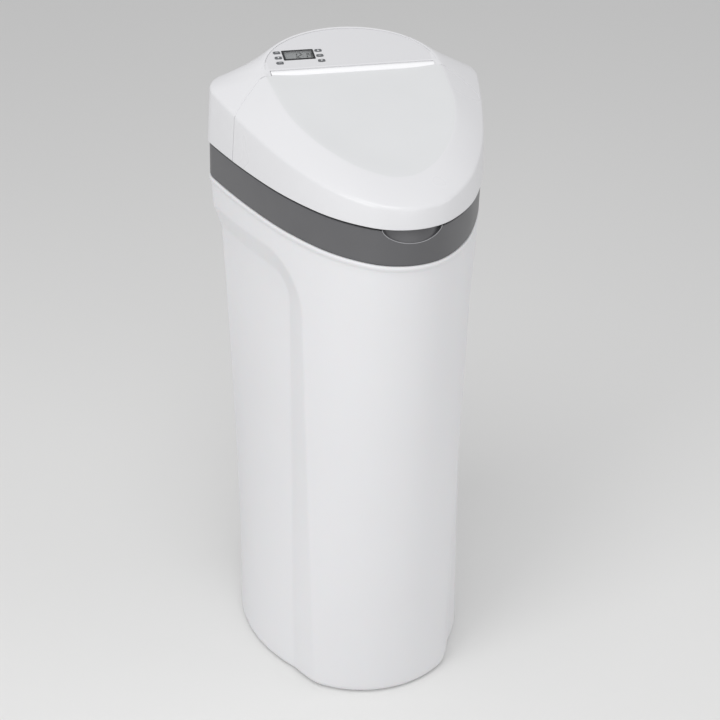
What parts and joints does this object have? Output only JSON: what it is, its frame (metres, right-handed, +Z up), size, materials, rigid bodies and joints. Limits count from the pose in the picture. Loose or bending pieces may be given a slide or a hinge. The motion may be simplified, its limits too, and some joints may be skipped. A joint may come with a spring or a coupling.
{
  "type": "water softener",
  "caption": "Cabinet water softener with a hinged salt lid, a control panel and a resin vessel inside an egg-shaped salt tank.",
  "frame": {"origin": "on the floor under the middle of the cabinet", "axes": "+Z up, the front of the cabinet faces -Y, +X is to the right seen from the front"},
  "size_m": [0.449, 0.5294, 1.0476],
  "materials": {
    "tank_white": "satin moulded polyethylene",
    "band_grey": "fine matt grey moulding",
    "hood_white": "satin white moulding",
    "facia_white": "smooth white panel",
    "window": "clear flat pane",
    "display": "grey-green liquid crystal with dark figures",
    "button_grey": "grey keys",
    "board": "green circuit board",
    "steel": "bright fasteners",
    "vessel": "wound glass-fibre shell",
    "black_plastic": "black moulding",
    "pipe_white": "plain white plastic",
    "resin": "amber beads",
    "valve_black": "glass-filled black moulding",
    "seal": "soft rubber",
    "gear_white": "natural acetal",
    "motor_steel": "zinc plated can",
    "nozzle": "small blue insert",
    "well_white": "plain white tube",
    "float_plastic": "hollow plastic float",
    "hose": "flexible brine tube",
    "clip_plastic": "coloured clips and knobs"
  },
  "bodies": {
    "cabinet": {"brine_tank": "tank_white", "rim_band": "band_grey", "top_cover": "hood_white", "hinge_pins": "steel", "facia_panel": "facia_white", "display_window": "window", "display_module": "display", "control_board": "board", "resin_tank": "vessel", "tank_foot": "black_plastic", "riser_tube": "pipe_white", "bottom_distributor": "pipe_white", "top_distributor": "pipe_white", "resin_bed": "resin", "valve_body": "valve_black", "tank_o_ring": "seal", "neck_clamp": "valve_black", "clamp_screws": "steel", "rotor_seal": "seal", "valve_cover": "valve_black", "valve_screws": "steel", "motor_plate": "valve_black", "drive_motor": "motor_steel", "position_switch": "black_plastic", "venturi_housing": "valve_black", "nozzle_disc": "nozzle", "venturi_cap": "valve_black", "brine_well": "well_white", "well_cap": "well_white", "brine_valve": "pipe_white", "brine_tube": "hose", "inlet_adapter": "valve_black", "outlet_adapter": "valve_black", "port_clips": "clip_plastic", "turbine_carrier": "pipe_white", "bypass_body": "valve_black", "drain_adapter": "valve_black", "overflow_elbow": "black_plastic", "overflow_grommet": "seal", "power_grommet": "seal"},
    "lid": {"salt_lid": "hood_white"},
    "rotor": {"rotor_disc": "pipe_white", "cam_gear": "gear_white"},
    "pinion": {"motor_pinion": "gear_white"},
    "turbine_wheel": {"turbine": "gear_white"},
    "float": {"brine_float": "float_plastic"},
    "stem": {"bypass_stem": "clip_plastic"},
    "button_left_front_key": {"button_left_front": "button_grey"},
    "button_left_middle_key": {"button_left_middle": "button_grey"},
    "button_left_rear_key": {"button_left_rear": "button_grey"},
    "button_right_front_key": {"button_right_front": "button_grey"},
    "button_right_middle_key": {"button_right_middle": "button_grey"},
    "button_right_rear_key": {"button_right_rear": "button_grey"}
  },
  "joints": [
    {"name": "lid_hinge", "type": "hinge", "parent": "cabinet", "child": "lid", "pos_m": [0, 0.114, 1.008], "axis": [-1, 0, 0], "range_deg": [0, 105]},
    {"name": "rotor_spin", "type": "hinge", "parent": "cabinet", "child": "rotor", "pos_m": [0, 0.098, 0.941], "axis": [0, 0, 1], "continuous": true},
    {"name": "pinion_spin", "type": "hinge", "parent": "cabinet", "child": "pinion", "pos_m": [0.02936, 0.14498, 0.941], "axis": [0, 0, 1], "continuous": true},
    {"name": "turbine_spin", "type": "hinge", "parent": "cabinet", "child": "turbine_wheel", "pos_m": [0.04, 0.167, 0.905], "axis": [0, 1, 0], "continuous": true},
    {"name": "float_rise", "type": "slide", "parent": "cabinet", "child": "float", "axis": [0, 0, 1], "range_m": [0, 0.02]},
    {"name": "stem_slide", "type": "slide", "parent": "cabinet", "child": "stem", "axis": [1, 0, 0], "range_m": [0, 0.014]},
    {"name": "button_left_front_press", "type": "slide", "parent": "cabinet", "child": "button_left_front_key", "axis": [0, 0.3256, -0.9455], "range_m": [0, 0.001], "stiffness_N_per_m": 200},
    {"name": "button_left_middle_press", "type": "slide", "parent": "cabinet", "child": "button_left_middle_key", "axis": [0, 0.3256, -0.9455], "range_m": [0, 0.001], "stiffness_N_per_m": 200},
    {"name": "button_left_rear_press", "type": "slide", "parent": "cabinet", "child": "button_left_rear_key", "axis": [0, 0.3256, -0.9455], "range_m": [0, 0.001], "stiffness_N_per_m": 200},
    {"name": "button_right_front_press", "type": "slide", "parent": "cabinet", "child": "button_right_front_key", "axis": [0, 0.3256, -0.9455], "range_m": [0, 0.001], "stiffness_N_per_m": 200},
    {"name": "button_right_middle_press", "type": "slide", "parent": "cabinet", "child": "button_right_middle_key", "axis": [0, 0.3256, -0.9455], "range_m": [0, 0.001], "stiffness_N_per_m": 200},
    {"name": "button_right_rear_press", "type": "slide", "parent": "cabinet", "child": "button_right_rear_key", "axis": [0, 0.3256, -0.9455], "range_m": [0, 0.001], "stiffness_N_per_m": 200}
  ],
  "couplings": [
    {"joint": "pinion_spin", "follows": "rotor_spin", "ratio": -4}
  ]
}
